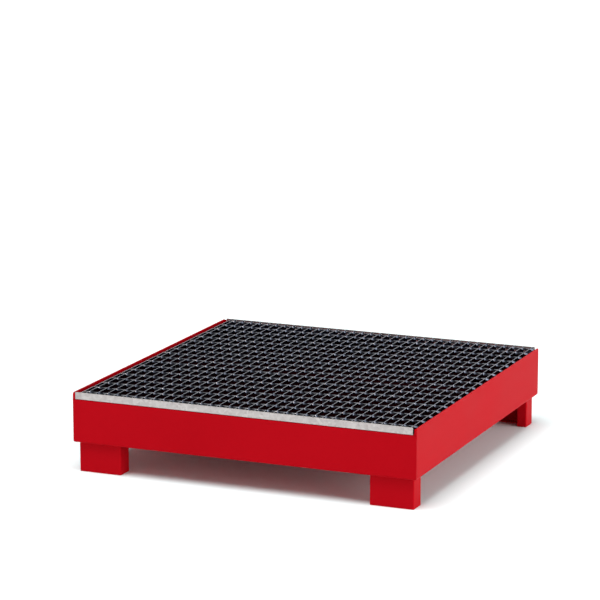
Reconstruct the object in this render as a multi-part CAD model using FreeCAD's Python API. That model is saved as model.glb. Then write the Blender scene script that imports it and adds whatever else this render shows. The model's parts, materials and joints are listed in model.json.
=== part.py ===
"""Steel spill containment pallet for four 205-litre drums: a welded sheet-steel
sump on four channel feet, with a lift-off grating deck of bars and cross rods.

Frame: +Z up, origin on the floor at the middle of the footprint, front at -Y.
Millimetres.
"""
import FreeCAD
import Part
import os

Vec = FreeCAD.Vector

# Driving dimensions of the sump
length = 1200.0           # along X
width = 1200.0            # along Y
footHeight = 100.0        # floor to the underside of the sump
sheet = 3.0               # sheet steel of the sump and of the feet
sideWallTop = 268.0       # top edge of the left and right walls
seatHeight = 245.0        # where the grating rests
seatDepth = 25.0          # folded ledge on the front and rear walls
lowerBendRadius = 7.0     # outside of the bend from a wall into the floor
foldRadius = 4.0          # outside of the other folds
upperCornerRadius = 9.0   # rounded upper corners of the side walls
cornerReturn = 8.0        # strip of a side wall folded round each end above the ledge

# Bearer under the middle of the grating
bearerFlange = 30.0
flowHoleCount = 6
flowHoleLength = 110.0
flowHoleHeight = 70.0
flowHoleRadius = 12.0

# Feet
footWidth = 149.0
footDepth = 64.0
footLip = 33.0
footSole = 20.0           # bottom flange turned inwards from the web
footInsetX = 14.0
footInsetY = 16.0

# Grating
barHeight = 25.0
barThickness = 2.0
barPitch = 100.0 / 3
regularBarCount = 35
lastBarX = 580.0          # middle of the rightmost bar
edgeBarX = -570.0         # extra bar that closes the left edge
bandLeftEnd = -591.0      # the grating lies nearer to the left wall
bandRightEnd = 587.0
bandThickness = 3.0
bandLift = 1.0            # gap under the band, because only the bars rest on the ledge
rodSize = 7.0
rodCount = 18
firstRodInset = 28.0      # front face of the pallet to the first rod's middle
rodLeftEnd = -573.0
rodRightEnd = 594.0

# Modelling aids
nearness = 0.1            # levels closer than this count as the same
overrun = 1.0             # how far a cutter reaches past what it cuts

# Worked out from the above
halfLength = length / 2
halfWidth = width / 2
gratingTop = seatHeight + barHeight
innerHalfLength = halfLength - sheet
innerHalfWidth = halfWidth - sheet
floorHalfLength = halfLength - lowerBendRadius
floorHalfWidth = halfWidth - lowerBendRadius
floorTop = footHeight + sheet
rodPitch = (width - 2 * firstRodInset) / (rodCount - 1)
rodRows = [-halfWidth + firstRodInset + row * rodPitch for row in range(rodCount)]
barColumns = [edgeBarX]
for column in range(regularBarCount):
    barColumns.append(lastBarX - (regularBarCount - 1 - column) * barPitch)


def export(shape, node):
    """Write one sub-part to its own STEP file."""
    shape.exportStep("parts/" + node + ".step")


def block(low, high):
    """Box between two opposite corners."""
    size = high - low
    return Part.makeBox(size.x, size.y, size.z, low)


def roundEdges(shape, radius, chosen):
    """Round the edges whose middle point passes the given test."""
    edges = [edge for edge in shape.Edges if chosen(edge.CenterOfMass, edge)]
    return shape.makeFillet(radius, edges)


def isAlong(edge, axis):
    """True for a straight edge parallel to the axis."""
    if len(edge.Vertexes) != 2:
        return False
    run = edge.Vertexes[1].Point - edge.Vertexes[0].Point
    return run.cross(axis).Length < 1e-6 * run.Length


def isAt(value, level):
    """True where a coordinate lies at the given level."""
    return abs(value - level) < nearness


alongX = Vec(1, 0, 0)
alongY = Vec(0, 1, 0)
alongZ = Vec(0, 0, 1)


def makeTub(inset, radius):
    """The sump's outer or inner form: an upright box with its lower edges rounded."""
    tub = block(Vec(inset - halfLength, inset - halfWidth, footHeight + inset),
                Vec(halfLength - inset, halfWidth - inset, sideWallTop))
    return roundEdges(tub, radius, lambda mid, edge: isAt(mid.z, footHeight + inset))


def makeShell():
    """All sheet of the sump with its lower bends, before it is split into pieces."""
    outer = makeTub(0, lowerBendRadius)
    inner = makeTub(sheet, lowerBendRadius - sheet)
    return outer.cut(inner)


def makeFloor(shell):
    """Flat bottom of the sump, between the bends of its four walls."""
    low = Vec(-floorHalfLength, -floorHalfWidth, footHeight)
    high = Vec(floorHalfLength, floorHalfWidth, floorTop)
    return shell.common(block(low, high))


def makeSideWall(shell, side):
    """Left (-1) or right (1) wall with its bend into the floor and its end strips."""
    inner = side * innerHalfLength
    outer = side * halfLength
    bendEnd = side * floorHalfLength
    plate = block(Vec(min(inner, outer), -halfWidth, footHeight),
                  Vec(max(inner, outer), halfWidth, sideWallTop))
    bend = block(Vec(min(bendEnd, outer), -floorHalfWidth, footHeight),
                 Vec(max(bendEnd, outer), floorHalfWidth, sideWallTop))
    wall = shell.common(plate.fuse(bend))
    stripEnd = side * (halfLength - cornerReturn)
    for end in (-1, 1):
        strip = block(Vec(min(stripEnd, outer), min(end * innerHalfWidth, end * halfWidth), seatHeight),
                      Vec(max(stripEnd, outer), max(end * innerHalfWidth, end * halfWidth), sideWallTop))
        wall = wall.fuse(strip)
    outline = roundEdges(block(Vec(-halfLength, -halfWidth, footHeight),
                               Vec(halfLength, halfWidth, sideWallTop)),
                         upperCornerRadius,
                         lambda mid, edge: isAlong(edge, alongX) and isAt(mid.z, sideWallTop))
    return wall.removeSplitter().common(outline)


def makeEndWall(shell, side):
    """Front (-1) or rear (1) wall with its lower bend and the ledge of the grating."""
    outer = side * halfWidth
    bendEnd = side * floorHalfWidth
    ledgeEnd = side * (halfWidth - seatDepth)
    plate = block(Vec(-innerHalfLength, min(outer, bendEnd), footHeight),
                  Vec(innerHalfLength, max(outer, bendEnd), seatHeight))
    ledge = block(Vec(-innerHalfLength, min(outer, ledgeEnd), seatHeight - sheet),
                  Vec(innerHalfLength, max(outer, ledgeEnd), seatHeight))
    wall = shell.common(plate).fuse(ledge).removeSplitter()
    wall = roundEdges(wall, foldRadius,
                      lambda mid, edge: isAlong(edge, alongX)
                      and isAt(abs(mid.y), halfWidth) and isAt(mid.z, seatHeight))
    return roundEdges(wall, foldRadius - sheet,
                      lambda mid, edge: isAlong(edge, alongX)
                      and isAt(abs(mid.y), innerHalfWidth) and isAt(mid.z, seatHeight - sheet))


def makeBearer():
    """Folded angle on edge across the sump, pierced so that liquid can pass."""
    front = -sheet / 2
    back = sheet / 2
    web = block(Vec(-innerHalfLength, front, floorTop),
                Vec(innerHalfLength, back, seatHeight))
    flange = block(Vec(-innerHalfLength, front, seatHeight - sheet),
                   Vec(innerHalfLength, front + bearerFlange, seatHeight))
    bearer = web.fuse(flange).removeSplitter()
    bearer = roundEdges(bearer, foldRadius,
                        lambda mid, edge: isAlong(edge, alongX)
                        and isAt(mid.y, front) and isAt(mid.z, seatHeight))
    bearer = roundEdges(bearer, foldRadius - sheet,
                        lambda mid, edge: isAlong(edge, alongX)
                        and isAt(mid.y, back) and isAt(mid.z, seatHeight - sheet))
    bearer = bearer.common(makeTub(sheet, lowerBendRadius - sheet))
    spacing = 2 * innerHalfLength / flowHoleCount
    middle = (floorTop + seatHeight) / 2
    for hole in range(flowHoleCount):
        centre = -innerHalfLength + (hole + 0.5) * spacing
        cutter = block(Vec(centre - flowHoleLength / 2, -sheet, middle - flowHoleHeight / 2),
                       Vec(centre + flowHoleLength / 2, sheet, middle + flowHoleHeight / 2))
        cutter = roundEdges(cutter, flowHoleRadius, lambda mid, edge: isAlong(edge, alongY))
        bearer = bearer.cut(cutter)
    return bearer


def makeFoot(sideX, sideY):
    """Lipped channel standing upright, its web outwards, with a sole flange."""
    outerX = halfLength - footInsetX
    outerY = halfWidth - footInsetY
    farX = outerX - footWidth
    farY = outerY - footDepth
    body = block(Vec(farX, farY, 0), Vec(outerX, outerY, footHeight))
    body = roundEdges(body, foldRadius, lambda mid, edge: isAlong(edge, alongZ))
    hollow = block(Vec(farX + sheet, farY + sheet, -overrun),
                   Vec(outerX - sheet, outerY - sheet, footHeight + overrun))
    hollow = roundEdges(hollow, foldRadius - sheet,
                        lambda mid, edge: isAlong(edge, alongZ))
    mouth = block(Vec(farX + footLip, farY - overrun, -overrun),
                  Vec(outerX - footLip, farY + sheet + overrun, footHeight + overrun))
    sole = block(Vec(farX + sheet, outerY - sheet - footSole, 0),
                 Vec(outerX - sheet, outerY - sheet, sheet))
    foot = body.cut(hollow).cut(mouth).fuse(sole).removeSplitter()
    if sideX < 0:
        foot = foot.mirror(Vec(0, 0, 0), alongX)
    if sideY < 0:
        foot = foot.mirror(Vec(0, 0, 0), alongY)
    return foot


def makeBand(side):
    """Flat bar that closes the grating along the front (-1) or rear (1) edge."""
    outer = side * halfWidth
    inner = side * (halfWidth - bandThickness)
    return block(Vec(bandLeftEnd, min(outer, inner), seatHeight + bandLift),
                 Vec(bandRightEnd, max(outer, inner), gratingTop))


def makeBar(middleX):
    """Bearing bar between the two bands, notched on top for the cross rods."""
    reach = halfWidth - bandThickness
    notchFloor = gratingTop - rodSize
    outline = [Vec(middleX, -reach, seatHeight), Vec(middleX, -reach, gratingTop)]
    for row in rodRows:
        outline.append(Vec(middleX, row - rodSize / 2, gratingTop))
        outline.append(Vec(middleX, row - rodSize / 2, notchFloor))
        outline.append(Vec(middleX, row + rodSize / 2, notchFloor))
        outline.append(Vec(middleX, row + rodSize / 2, gratingTop))
    outline.append(Vec(middleX, reach, gratingTop))
    outline.append(Vec(middleX, reach, seatHeight))
    outline.append(outline[0])
    profile = Part.Face(Part.makePolygon(outline))
    profile.translate(Vec(-barThickness / 2, 0, 0))
    return profile.extrude(Vec(barThickness, 0, 0))


def makeRods():
    """The cross rods, one solid each, pressed flush into the bars' notches."""
    rods = []
    for row in rodRows:
        low = Vec(rodLeftEnd, row - rodSize / 2, gratingTop - rodSize)
        high = Vec(rodRightEnd, row + rodSize / 2, gratingTop)
        rods.append(block(low, high))
    return Part.makeCompound(rods)


def main():
    os.makedirs("parts", exist_ok=True)
    shell = makeShell()
    export(makeFloor(shell), "sump_floor")
    export(makeSideWall(shell, -1), "left_wall")
    export(makeSideWall(shell, 1), "right_wall")
    export(makeEndWall(shell, -1), "front_wall")
    export(makeEndWall(shell, 1), "rear_wall")
    export(makeBearer(), "centre_bearer")
    for endName, sideY in (("front", -1), ("rear", 1)):
        for sideName, sideX in (("left", -1), ("right", 1)):
            export(makeFoot(sideX, sideY), endName + "_" + sideName + "_foot")
        export(makeBand(sideY), "grating_" + endName + "_band")
    for number, middleX in enumerate(barColumns, start=1):
        export(makeBar(middleX), "bearing_bar_%02d" % number)
    export(makeRods(), "cross_rods")


main()
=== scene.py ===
import json
import math
import bpy
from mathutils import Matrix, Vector

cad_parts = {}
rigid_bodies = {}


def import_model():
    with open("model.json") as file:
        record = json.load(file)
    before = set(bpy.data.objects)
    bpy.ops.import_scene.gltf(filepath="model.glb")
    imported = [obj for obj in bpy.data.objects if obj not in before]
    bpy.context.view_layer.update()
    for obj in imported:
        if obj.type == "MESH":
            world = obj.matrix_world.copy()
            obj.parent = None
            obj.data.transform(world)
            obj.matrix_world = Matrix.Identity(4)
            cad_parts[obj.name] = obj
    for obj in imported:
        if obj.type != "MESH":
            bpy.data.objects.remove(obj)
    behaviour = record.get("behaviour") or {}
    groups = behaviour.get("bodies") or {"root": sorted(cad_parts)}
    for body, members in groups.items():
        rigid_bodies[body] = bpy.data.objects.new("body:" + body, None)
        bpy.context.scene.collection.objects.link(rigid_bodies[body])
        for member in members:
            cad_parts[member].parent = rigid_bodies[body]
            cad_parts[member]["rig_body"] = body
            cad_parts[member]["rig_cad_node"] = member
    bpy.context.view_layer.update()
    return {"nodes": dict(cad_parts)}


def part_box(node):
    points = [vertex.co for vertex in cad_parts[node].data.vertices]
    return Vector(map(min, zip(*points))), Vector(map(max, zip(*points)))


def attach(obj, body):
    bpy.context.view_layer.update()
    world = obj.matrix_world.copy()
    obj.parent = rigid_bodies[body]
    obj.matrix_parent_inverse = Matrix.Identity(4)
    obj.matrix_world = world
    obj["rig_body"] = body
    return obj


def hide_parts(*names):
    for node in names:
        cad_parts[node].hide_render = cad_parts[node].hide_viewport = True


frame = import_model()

nodes = frame["nodes"]
mm = 0.001
sheetThickness = 3 * mm
cutAngle = math.radians(50)      # a sharper edge than this is a cut edge and gets a round
smoothAngle = math.radians(40)   # faces of a bend meet at less than this and shade as one


def deselect():
    bpy.ops.object.select_all(action="DESELECT")


def activate(piece):
    deselect()
    piece.select_set(True)
    bpy.context.view_layer.objects.active = piece


def pickEdges(piece, test):
    # edit mode, with only the edges selected whose middle and direction pass the test
    activate(piece)
    bpy.ops.object.mode_set(mode="EDIT")
    bpy.ops.mesh.select_mode(type="EDGE")
    bpy.ops.mesh.select_all(action="DESELECT")
    bpy.ops.object.mode_set(mode="OBJECT")
    corners = piece.data.vertices
    for edge in piece.data.edges:
        start, end = (corners[corner].co for corner in edge.vertices)
        edge.select = test((start + end) / 2, (end - start).normalized())
    bpy.ops.object.mode_set(mode="EDIT")


def applyAll(piece):
    activate(piece)
    for modifier in list(piece.modifiers):
        bpy.ops.object.modifier_apply(modifier=modifier.name)
    bpy.ops.object.transform_apply(location=True, rotation=True, scale=True)


def soften(piece, width, segments):
    # small round on every cut edge, smooth bends, flat faces kept flat
    activate(piece)
    bevel = piece.modifiers.new("edge", "BEVEL")
    bevel.width = width
    bevel.segments = segments
    bevel.limit_method = "ANGLE"
    bevel.angle_limit = cutAngle
    bpy.ops.object.modifier_apply(modifier="edge")
    bpy.ops.object.shade_smooth_by_angle(angle=smoothAngle)
    piece.modifiers.new("weighted", "WEIGHTED_NORMAL").keep_sharp = True
    bpy.ops.object.modifier_apply(modifier="weighted")


def dress(piece, body, material):
    # the piece's material and the body that it moves with
    piece.data.materials.clear()
    piece.data.materials.append(material)
    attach(piece, body)


def joinAll(parts, name):
    deselect()
    for part in parts:
        part.select_set(True)
    bpy.context.view_layer.objects.active = parts[0]
    if len(parts) > 1:
        bpy.ops.object.join()
    joined = bpy.context.object
    joined.name = name
    return joined


def linear(hexColour):
    # sRGB hex to the linear values that shaders take
    channels = []
    for place in (0, 2, 4):
        value = int(hexColour[place:place + 2], 16) / 255
        channels.append(value / 12.92 if value <= 0.04045 else ((value + 0.055) / 1.055) ** 2.4)
    return (channels[0], channels[1], channels[2], 1.0)


def addNode(tree, kind, settings, links):
    node = tree.nodes.new(kind)
    for name, value in settings.items():
        if isinstance(name, int) or name in node.inputs:
            node.inputs[name].default_value = value
        else:
            setattr(node, name, value)
    for socket, source in links.items():
        tree.links.new(source, node.inputs[socket])
    return node


def newMaterial(name):
    material = bpy.data.materials.new(name)
    material.use_nodes = True
    tree = material.node_tree
    tree.nodes.clear()
    output = tree.nodes.new("ShaderNodeOutputMaterial")
    shader = tree.nodes.new("ShaderNodeBsdfPrincipled")
    tree.links.new(shader.outputs[0], output.inputs[0])
    place = tree.nodes.new("ShaderNodeTexCoord").outputs["Object"]
    return material, tree, shader, place


# Polyester powder coat baked on sheet steel: even signal red, a soft sheen, faint orange peel
# about 2 mm across, and a broad, barely seen change of tone over each sheet.
powder = {
    "light": "B40816", "deep": "AA0613", "cloud": 320 * mm, "cloudDetail": 2.0,
    "roughness": (0.34, 0.46), "specular": 0.017, "ior": 1.5,
    "peel": 2.2 * mm, "peelDetail": 1.0, "peelDepth": 0.012 * mm, "peelStrength": 0.5,
}


def powderCoat():
    material, tree, shader, place = newMaterial("redPowderCoatOnSheetSteel")
    smooth, dull = powder["roughness"]
    cloud = addNode(tree, "ShaderNodeTexNoise",
                    {"Scale": 1 / powder["cloud"], "Detail": powder["cloudDetail"]}, {"Vector": place})
    tone = addNode(tree, "ShaderNodeMix",
                   {"data_type": "RGBA", 6: linear(powder["deep"]), 7: linear(powder["light"])},
                   {0: cloud.outputs["Fac"]})
    peel = addNode(tree, "ShaderNodeTexNoise",
                   {"Scale": 1 / powder["peel"], "Detail": powder["peelDetail"]}, {"Vector": place})
    sheen = addNode(tree, "ShaderNodeMapRange", {"To Min": smooth, "To Max": dull},
                    {"Value": cloud.outputs["Fac"]})
    bump = addNode(tree, "ShaderNodeBump",
                   {"Strength": powder["peelStrength"], "Distance": powder["peelDepth"]},
                   {"Height": peel.outputs["Fac"]})
    shader.inputs["Specular IOR Level"].default_value = powder["specular"]
    shader.inputs["IOR"].default_value = powder["ior"]
    tree.links.new(tone.outputs[2], shader.inputs["Base Color"])
    tree.links.new(sheen.outputs[0], shader.inputs["Roughness"])
    tree.links.new(bump.outputs[0], shader.inputs["Normal"])
    return material


# Hot-dip galvanised steel: crystals of zinc a few millimetres across in slightly different greys,
# clouded where the zinc ran. Painted light and shade: faces that look up get a lit top colour, steep and
# deep sides a darker painted-shade colour.
zincSkin = {
    "runDetail": 4.0, "runRoughness": 0.6, "runShare": 0.55,
    "unevenStrength": 0.35, "unevenDepth": 0.05 * mm,
}
zincSettings = {
    "band": {
        "light": "F0EEEA", "dark": "DCDAD7", "shadedSideLight": "D8CCCA", "shadedSideDark": "B0A5A4", "edge": "D0D0D0",
        "crystal": 9 * mm, "run": 60 * mm, "roughness": (0.38, 0.55), "litTopByFacing": (0.4, 0.9),
    },
    # bearing bars: painted highlight on near-white tops and painted shade on near-black navy sides, which
    # darkens the gaps of the grating
    "bar": {
        "light": "FFFFFF", "dark": "ECECEE", "shadedSideLight": "2F3C52", "shadedSideDark": "1A2434", "edge": "BCC4D0",
        "crystal": 7 * mm, "run": 45 * mm, "roughness": (0.22, 0.34), "litTopByFacing": (0.78, 0.98),
    },
    "rod": {
        "light": "DADCE0", "dark": "A6A9B0", "shadedSideLight": "525660", "shadedSideDark": "323640", "edge": "AAACB4",
        "crystal": 7 * mm, "run": 45 * mm, "roughness": (0.28, 0.42), "litTopByFacing": (0.84, 1.0),
    },
    "joint": {
        "light": "FFF4EE", "dark": "ECDED8", "shadedSideLight": "C4B0A6", "shadedSideDark": "88786E", "edge": "F4E2DC",
        "crystal": 7 * mm, "run": 45 * mm, "roughness": (0.24, 0.36), "litTopByFacing": (0.15, 0.65),
    },
}


def zinc(name, look):
    material, tree, shader, place = newMaterial(name)
    smooth, dull = look["roughness"]
    steep, level = look["litTopByFacing"]
    crystal = addNode(tree, "ShaderNodeTexVoronoi", {"Scale": 1 / look["crystal"]}, {"Vector": place})
    grain = addNode(tree, "ShaderNodeSeparateColor", {}, {0: crystal.outputs["Color"]})
    run = addNode(tree, "ShaderNodeTexNoise",
                  {"Scale": 1 / look["run"], "Detail": zincSkin["runDetail"],
                   "Roughness": zincSkin["runRoughness"]}, {"Vector": place})
    both = addNode(tree, "ShaderNodeMix", {"data_type": "FLOAT", 0: zincSkin["runShare"]},
                   {2: grain.outputs[0], 3: run.outputs["Fac"]})
    top = addNode(tree, "ShaderNodeMix",
                  {"data_type": "RGBA", 6: linear(look["dark"]), 7: linear(look["light"])},
                  {0: both.outputs[0]})
    # painted light and shade: the darker shaded side colour on faces that point sideways or down, the lit
    # top colour on faces that point up, blended by the normal's height
    side = addNode(tree, "ShaderNodeMix",
                   {"data_type": "RGBA", 6: linear(look["shadedSideDark"]), 7: linear(look["shadedSideLight"])},
                   {0: both.outputs[0]})
    facing = tree.nodes.new("ShaderNodeTexCoord").outputs["Normal"]
    upward = addNode(tree, "ShaderNodeSeparateXYZ", {}, {0: facing})
    litTopByFacing = addNode(tree, "ShaderNodeMapRange", {"From Min": steep, "From Max": level},
                     {"Value": upward.outputs["Z"]})
    tone = addNode(tree, "ShaderNodeMix", {"data_type": "RGBA"},
                   {0: litTopByFacing.outputs[0], 6: side.outputs[2], 7: top.outputs[2]})
    sheen = addNode(tree, "ShaderNodeMapRange", {"To Min": smooth, "To Max": dull},
                    {"Value": grain.outputs[1]})
    bump = addNode(tree, "ShaderNodeBump",
                   {"Strength": zincSkin["unevenStrength"], "Distance": zincSkin["unevenDepth"]},
                   {"Height": run.outputs["Fac"]})
    shader.inputs["Metallic"].default_value = 1.0
    shader.inputs["Specular Tint"].default_value = linear(look["edge"])
    tree.links.new(tone.outputs[2], shader.inputs["Base Color"])
    tree.links.new(sheen.outputs[0], shader.inputs["Roughness"])
    tree.links.new(bump.outputs[0], shader.inputs["Normal"])
    return material


redPaint = powderCoat()
bandZinc = zinc("galvanisedFlatBar", zincSettings["band"])
barZinc = zinc("galvanisedBearingBar", zincSettings["bar"])
rodZinc = zinc("galvanisedCrossRod", zincSettings["rod"])
jointZinc = zinc("galvanisedForgedJoint", zincSettings["joint"])
print("materials made")


sheets = {
    "sump_floor": "sumpFloor", "front_wall": "frontWall", "rear_wall": "rearWall",
    "left_wall": "leftWall", "right_wall": "rightWall", "centre_bearer": "centreBearer",
    "front_left_foot": "frontLeftFoot", "front_right_foot": "frontRightFoot",
    "rear_left_foot": "rearLeftFoot", "rear_right_foot": "rearRightFoot",
}
sheetEdge = {"merge": 0.002 * mm, "flat": math.radians(1), "round": 0.6 * mm, "segments": 3}


def mergedCopy(node, name):
    # a copy of a CAD node as one closed skin, whose edges can be rounded
    activate(nodes[node])
    bpy.ops.object.duplicate()
    piece = bpy.context.object
    piece.name = name
    piece.parent = None
    del piece["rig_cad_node"]
    del piece["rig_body"]
    bpy.ops.object.mode_set(mode="EDIT")
    bpy.ops.mesh.select_all(action="SELECT")
    bpy.ops.mesh.remove_doubles(threshold=sheetEdge["merge"])
    bpy.ops.mesh.customdata_custom_splitnormals_clear()
    bpy.ops.mesh.dissolve_limited(angle_limit=sheetEdge["flat"])
    bpy.ops.mesh.normals_make_consistent(inside=False)
    bpy.ops.object.mode_set(mode="OBJECT")
    return piece


for node, name in sheets.items():
    sheetPiece = mergedCopy(node, name)
    soften(sheetPiece, sheetEdge["round"], sheetEdge["segments"])
    dress(sheetPiece, "sump", redPaint)
    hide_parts(node)
print("sump sheets finished")


weld = {
    "radius": 2.6 * mm, "ripple": 2.1 * mm, "squash": 0.75, "segments": 8, "rings": 6,
    "endGap": 5 * mm, "cornerFoot": 6 * mm, "topGap": 8 * mm, "stitch": 45 * mm, "stitches": 7,
}


def bead(start, end):
    # a row of overlapping ripples, as a welder lays them
    run = end - start
    count = max(2, round(run.length / weld["ripple"]))
    bpy.ops.mesh.primitive_uv_sphere_add(segments=weld["segments"], ring_count=weld["rings"],
                                         radius=weld["radius"], location=start)
    ripple = bpy.context.object
    ripple.scale = [1 - (1 - weld["squash"]) * abs(part) for part in run.normalized()]
    bpy.ops.object.transform_apply(location=True, rotation=True, scale=True)
    bpy.ops.object.shade_smooth()
    row = ripple.modifiers.new("row", "ARRAY")
    row.count = count
    row.use_relative_offset = False
    row.use_constant_offset = True
    row.constant_offset_displace = run / (count - 1)
    bpy.ops.object.modifier_apply(modifier="row")
    return ripple


def footSeams():
    seams = []
    for node in ("front_left_foot", "front_right_foot", "rear_left_foot", "rear_right_foot"):
        low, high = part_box(node)
        fold = weld["endGap"]
        top = high.z
        web = low.y if low.y < 0 else high.y
        seams.append(bead(Vector((low.x + fold, web, top)), Vector((high.x - fold, web, top))))
        for side in (low.x, high.x):
            seams.append(bead(Vector((side, low.y + fold, top)), Vector((side, high.y - fold, top))))
    return joinAll(seams, "footWelds")


def cornerSeams():
    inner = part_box("right_wall")[1].x - sheetThickness
    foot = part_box("sump_floor")[1].z + weld["cornerFoot"]
    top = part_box("front_wall")[1].z - weld["topGap"]
    seams = []
    for x in (-inner, inner):
        for y in (-inner, inner):
            seams.append(bead(Vector((x, y, foot)), Vector((x, y, top))))
    return joinAll(seams, "cornerWelds")


def bearerSeams():
    low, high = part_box("centre_bearer")
    webFace = sheetThickness / 2
    seams = []
    for x in (low.x, high.x):
        for y in (-webFace, webFace):
            foot = Vector((x, y, low.z + weld["endGap"]))
            seams.append(bead(foot, Vector((x, y, high.z - weld["topGap"]))))
    for place in range(weld["stitches"]):
        x = low.x + (high.x - low.x) * place / (weld["stitches"] - 1)
        first = max(low.x + weld["endGap"], x - weld["stitch"] / 2)
        last = min(high.x - weld["endGap"], x + weld["stitch"] / 2)
        seams.append(bead(Vector((first, -webFace, low.z)), Vector((last, -webFace, low.z))))
    return joinAll(seams, "bearerWelds")


for seamPiece in (footSeams(), cornerSeams(), bearerSeams()):
    dress(seamPiece, "sump", redPaint)
print("weld seams laid")


band = {
    "edge": 0.7 * mm, "edgeSegments": 2, "rolled": 1.9 * mm, "rolledSegments": 4,
    "weldHeight": (3 * mm, 18 * mm),
}


def gratingBand(node, name):
    # a flat bar whose lower outer edge is rolled, with a bead at the end of each bearing bar
    low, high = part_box(node)
    bpy.ops.mesh.primitive_cube_add(size=1, location=(low + high) / 2)
    flat = bpy.context.object
    flat.scale = high - low
    bpy.ops.object.transform_apply(location=True, rotation=True, scale=True)
    inner, outer = (high.y, low.y) if low.y < 0 else (low.y, high.y)
    pickEdges(flat, lambda middle, along: abs(middle.y - outer) < mm and abs(middle.z - low.z) < mm)
    bpy.ops.mesh.bevel(offset=band["rolled"], segments=band["rolledSegments"])
    bpy.ops.object.mode_set(mode="OBJECT")
    soften(flat, band["edge"], band["edgeSegments"])
    weldLow, weldHigh = (low.z + height for height in band["weldHeight"])
    parts = [flat]
    for bar in barNodes:
        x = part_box(bar)[1].x
        parts.append(bead(Vector((x, inner, weldLow)), Vector((x, inner, weldHigh))))
    return joinAll(parts, name)


barNodes = sorted(node for node in nodes if node.startswith("bearing_bar"))
for node, name in (("grating_front_band", "gratingFrontBand"), ("grating_rear_band", "gratingRearBand")):
    bandPiece = gratingBand(node, name)
    dress(bandPiece, "grating", bandZinc)
    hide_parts(node)
for node in barNodes:
    nodes[node].data.materials.clear()
    nodes[node].data.materials.append(barZinc)
print("bands and bars finished")


rod = {"count": 18, "side": 6.6 * mm, "halfDiagonal": 0.71, "stepsPerBar": 8, "phase": 30, "quarter": 90}
joint = {
    "halfLength": 2.9 * mm, "halfWidth": 3.4 * mm, "halfHeight": 2.5 * mm, "sunk": 0.4 * mm,
    "segments": 8, "rings": 6, "grain": 9 * mm, "uneven": 0.7 * mm, "shrink": 0.9,
}

rodLow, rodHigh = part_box("cross_rods")
barPitch = (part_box(barNodes[-1])[0].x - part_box(barNodes[1])[0].x) / (len(barNodes) - 2)
rodWidth = rodHigh.z - rodLow.z
rowPitch = ((rodHigh.y - rodLow.y) - rodWidth) / (rod["count"] - 1)
rodLevel = rodHigh.z - rod["side"] * rod["halfDiagonal"]


def twistedRod():
    # a square bar that turns a quarter from one bearing bar to the next
    centre = Vector(((rodLow.x + rodHigh.x) / 2, rodLow.y + rodWidth / 2, rodLevel))
    length = rodHigh.x - rodLow.x
    bpy.ops.mesh.primitive_cube_add(size=1, location=centre)
    piece = bpy.context.object
    piece.scale = (length, rod["side"], rod["side"])
    bpy.ops.object.transform_apply(location=False, rotation=False, scale=True)
    piece.rotation_euler.x = math.radians(rod["phase"])
    bpy.ops.object.transform_apply(location=False, rotation=True, scale=False)
    pickEdges(piece, lambda middle, along: abs(along.x) > 0.99)
    bpy.ops.mesh.subdivide(number_cuts=round(length / barPitch * rod["stepsPerBar"]))
    bpy.ops.object.mode_set(mode="OBJECT")
    twist = piece.modifiers.new("twist", "SIMPLE_DEFORM")
    twist.deform_method = "TWIST"
    twist.deform_axis = "X"
    twist.angle = math.radians(rod["quarter"]) * length / barPitch
    applyAll(piece)
    bpy.ops.object.shade_smooth_by_angle(angle=cutAngle)
    return piece


def forgedJoints():
    # the nodule squeezed up where each rod is forged into a bar: the edge bar's row, then the others
    level = rodHigh.z - joint["halfHeight"] - joint["sunk"]
    parts = []
    for bar, count in ((barNodes[0], 1), (barNodes[1], len(barNodes) - 1)):
        low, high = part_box(bar)
        start = Vector(((low.x + high.x) / 2, rodLow.y + rodWidth / 2, level))
        bpy.ops.mesh.primitive_uv_sphere_add(segments=joint["segments"], ring_count=joint["rings"],
                                             radius=1, location=start)
        piece = bpy.context.object
        piece.scale = (joint["halfLength"], joint["halfWidth"], joint["halfHeight"])
        bpy.ops.object.transform_apply(location=True, rotation=True, scale=True)
        for offset, number in (((barPitch, 0, 0), count), ((0, rowPitch, 0), rod["count"])):
            row = piece.modifiers.new("row", "ARRAY")
            row.count = number
            row.use_relative_offset = False
            row.use_constant_offset = True
            row.constant_offset_displace = offset
        parts.append(piece)
        applyAll(piece)
    piece = joinAll(parts, "forgedJoints")
    cloud = bpy.data.textures.new("forging", "CLOUDS")
    cloud.noise_scale = joint["grain"]
    rough = piece.modifiers.new("uneven", "DISPLACE")
    rough.texture = cloud
    rough.texture_coords = "LOCAL"
    rough.strength = joint["uneven"]
    rough.mid_level = joint["shrink"]
    applyAll(piece)
    bpy.ops.object.shade_smooth()
    return piece


firstRod = twistedRod()
rodPieces = [firstRod]
for number in range(1, rod["count"]):
    activate(firstRod)
    bpy.ops.object.duplicate()
    copy = bpy.context.object
    copy.location.y = rowPitch * number
    bpy.ops.object.transform_apply(location=True, rotation=True, scale=True)
    rodPieces.append(copy)
for number, piece in enumerate(rodPieces, start=1):
    piece.name = "crossRod%02d" % number
    dress(piece, "grating", rodZinc)
    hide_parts("cross_rods")
joints = forgedJoints()
dress(joints, "grating", jointZinc)
print("rods twisted and joints forged")


studio = {
    "floorSize": 80, "floorDrop": 0.2 * mm, "floorColour": "EEFAFA", "floorRoughness": 0.9,
    "around": 1.28, "overhead": 0.25, "ceilingFrom": 0.5,
    "right": (0.75, 0.66, 0.0), "darkSide": 0.45, "lightSide": 1.40,
    "key": 2.98, "keySpread": 42, "keyFrom": (-0.12, -0.28, 1.0),
    "fill": 2.35, "fillSpread": 60, "fillFrom": (1.0, -0.02, 0.2),
}


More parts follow.
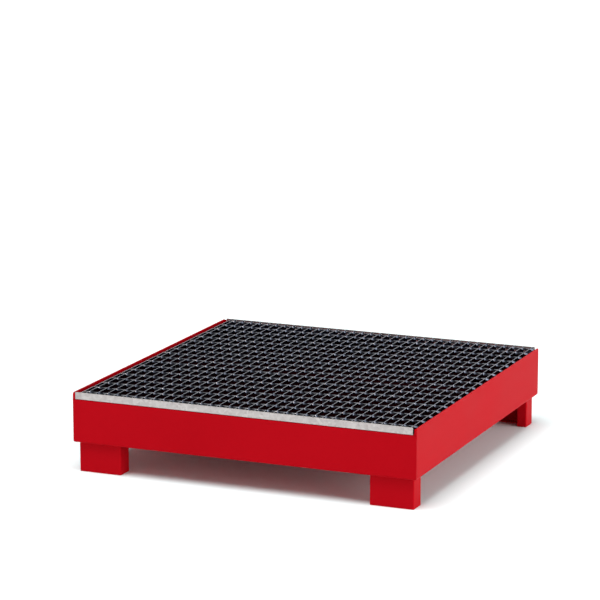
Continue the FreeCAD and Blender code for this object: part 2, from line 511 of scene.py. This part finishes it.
def paleFloor():
    bpy.ops.mesh.primitive_plane_add(size=studio["floorSize"], location=(0, 0, -studio["floorDrop"]))
    floor = bpy.context.object
    floor.name = "studioFloor"
    material, tree, shader, place = newMaterial("paleStudioFloor")
    shader.inputs["Base Color"].default_value = linear(studio["floorColour"])
    shader.inputs["Roughness"].default_value = studio["floorRoughness"]
    shader.inputs["Specular IOR Level"].default_value = 0.0
    floor.data.materials.append(material)


def softLamp(name, strength, spread, source):
    data = bpy.data.lights.new(name, "SUN")
    data.energy = strength
    data.angle = math.radians(spread)
    lamp = bpy.data.objects.new(name, data)
    bpy.context.scene.collection.objects.link(lamp)
    lamp.rotation_mode = "QUATERNION"
    lamp.rotation_quaternion = Vector(source).to_track_quat("Z", "Y")


def softRoom():
    # white walls all round, the right-hand one brighter, and a dimmer ceiling
    world = bpy.data.worlds.new("softRoom")
    bpy.context.scene.world = world
    world.use_nodes = True
    tree = world.node_tree
    background = tree.nodes["Background"]
    place = tree.nodes.new("ShaderNodeTexCoord").outputs["Generated"]
    height = addNode(tree, "ShaderNodeSeparateXYZ", {}, {0: place})
    level = addNode(tree, "ShaderNodeMapRange",
                    {"From Max": studio["ceilingFrom"], "To Min": studio["around"],
                     "To Max": studio["overhead"]}, {"Value": height.outputs["Z"]})
    side = addNode(tree, "ShaderNodeVectorMath", {"operation": "DOT_PRODUCT", 1: studio["right"]},
                   {0: place})
    wall = addNode(tree, "ShaderNodeMapRange",
                   {"From Min": -1.0, "From Max": 1.0, "To Min": studio["darkSide"],
                    "To Max": studio["lightSide"]}, {"Value": side.outputs["Value"]})
    both = addNode(tree, "ShaderNodeMath", {"operation": "MULTIPLY"},
                   {0: level.outputs[0], 1: wall.outputs[0]})
    tree.links.new(both.outputs[0], background.inputs["Strength"])
    background.inputs["Color"].default_value = (1, 1, 1, 1)


shot = {
    "lens": 171.88, "sensor": 36, "reach": 200,
    "place": (3.6228, -8.6719, 2.5375), "down": 12.188, "turn": 22.943,
}


def camera():
    data = bpy.data.cameras.new("camera")
    data.lens = shot["lens"]
    data.sensor_width = shot["sensor"]
    data.clip_end = shot["reach"]
    eye = bpy.data.objects.new("camera", data)
    bpy.context.scene.collection.objects.link(eye)
    eye.location = shot["place"]
    eye.rotation_euler = (math.radians(90 - shot["down"]), 0, math.radians(shot["turn"]))
    bpy.context.scene.camera = eye


paleFloor()
softLamp("keyLight", studio["key"], studio["keySpread"], studio["keyFrom"])
softLamp("fillLight", studio["fill"], studio["fillSpread"], studio["fillFrom"])
softRoom()
bpy.context.scene.view_settings.view_transform = "Standard"
camera()
print("studio lit")
